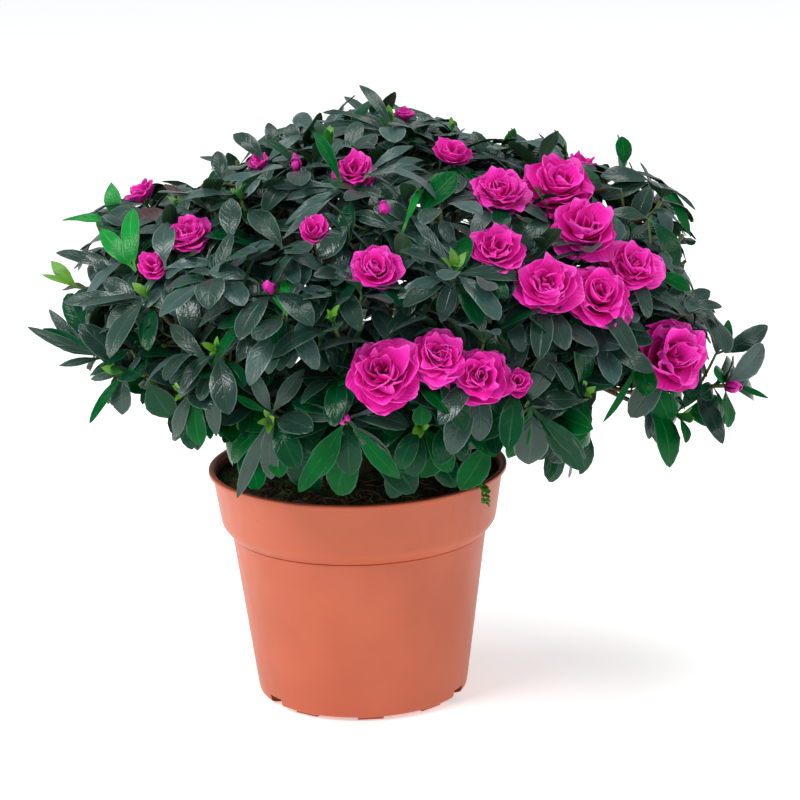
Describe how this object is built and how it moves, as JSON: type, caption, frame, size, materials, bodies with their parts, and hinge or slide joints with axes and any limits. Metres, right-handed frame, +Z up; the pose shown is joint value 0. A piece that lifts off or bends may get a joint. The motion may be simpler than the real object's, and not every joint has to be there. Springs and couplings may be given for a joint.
{
  "type": "potted azalea shrub",
  "caption": "Low, wide-domed evergreen azalea with oval leaves in whorls and double magenta flowers, in a tapered round plastic nursery pot.",
  "frame": {"origin": "on the floor under the centre of the pot, at the flat pad in the middle of its underside", "axes": "+Z up; -Y towards the side that is seen in the picture, +X to the right of it"},
  "size_m": [0.3347, 0.2728, 0.2767],
  "materials": {
    "pot": "satin terracotta-coloured plastic",
    "soil": "dark moist peat with moss and fibres",
    "bark": "matt grey-brown bark",
    "foliage": "satin dark grey-green leaves, with magenta flowers"
  },
  "bodies": {
    "root": {"pot": "pot", "soil": "soil", "trunk": "bark", "bough_low_front": "bark", "bough_low_front_right": "bark", "bough_low_back_right": "bark", "bough_low_back": "bark", "bough_low_back_left": "bark", "bough_low_front_left": "bark", "bough_high_front_right": "bark", "bough_high_right": "bark", "bough_high_back": "bark", "bough_high_left": "bark", "bough_high_front_left": "bark", "bough_top": "bark", "foliage_low_front": "foliage", "foliage_low_front_right": "foliage", "foliage_low_back_right": "foliage", "foliage_low_back": "foliage", "foliage_low_back_left": "foliage", "foliage_low_front_left": "foliage", "foliage_high_front_right": "foliage", "foliage_high_right": "foliage", "foliage_high_back": "foliage", "foliage_high_left": "foliage", "foliage_high_front_left": "foliage", "foliage_top": "foliage"}
  },
  "joints": []
}
